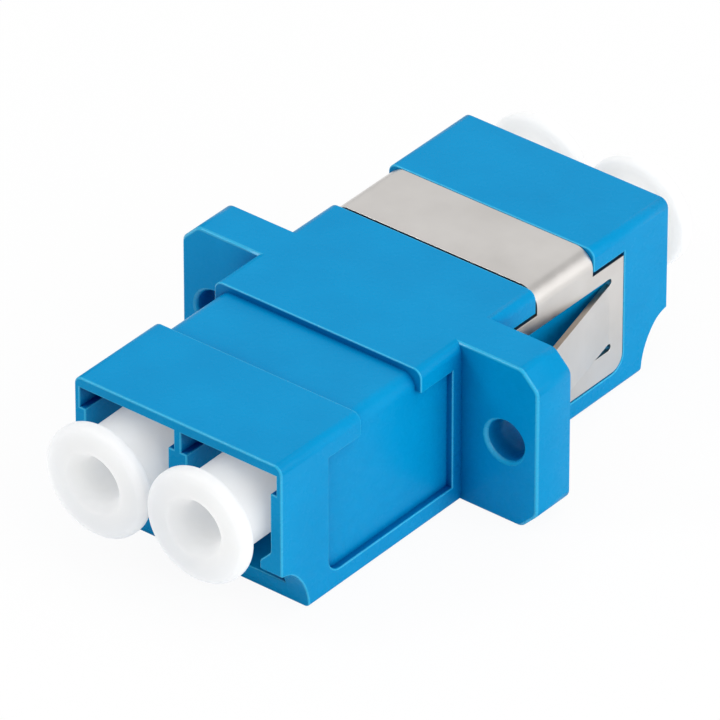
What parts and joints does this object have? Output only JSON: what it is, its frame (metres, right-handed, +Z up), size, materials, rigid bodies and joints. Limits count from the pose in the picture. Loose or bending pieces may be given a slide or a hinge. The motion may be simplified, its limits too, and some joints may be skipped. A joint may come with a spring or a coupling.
{
  "type": "duplex lc fibre adapter",
  "caption": "Duplex fibre adapter: a flanged moulded housing with side by side ports at both ends, a sprung metal panel clip, split alignment sleeves and pull-out dust caps.",
  "frame": {"origin": "at the underside, midway between the ports, in the plane where the two halves are welded", "axes": "+Z up, +Y along the fibres out of the rear ports, +X across the ports"},
  "size_m": [0.022, 0.0352, 0.0091],
  "materials": {
    "housing": "satin moulded blue plastic",
    "clip": "satin stainless spring sheet",
    "sleeve": "ground white zirconia",
    "cap": "soft translucent white plastic"
  },
  "bodies": {
    "adapter": {"front_half": "housing", "rear_half": "housing", "panel_clip": "clip", "alignment_sleeve_left": "sleeve", "alignment_sleeve_right": "sleeve"},
    "front_cap_left": {"front_cap_left": "cap"},
    "front_cap_right": {"front_cap_right": "cap"},
    "rear_cap_left": {"rear_cap_left": "cap"},
    "rear_cap_right": {"rear_cap_right": "cap"}
  },
  "joints": [
    {"name": "front_cap_left_pull", "type": "slide", "parent": "adapter", "child": "front_cap_left", "axis": [0, -1, 0], "range_m": [0, 0.016]},
    {"name": "front_cap_right_pull", "type": "slide", "parent": "adapter", "child": "front_cap_right", "axis": [0, -1, 0], "range_m": [0, 0.016]},
    {"name": "rear_cap_left_pull", "type": "slide", "parent": "adapter", "child": "rear_cap_left", "axis": [0, 1, 0], "range_m": [0, 0.016]},
    {"name": "rear_cap_right_pull", "type": "slide", "parent": "adapter", "child": "rear_cap_right", "axis": [0, 1, 0], "range_m": [0, 0.016]}
  ]
}
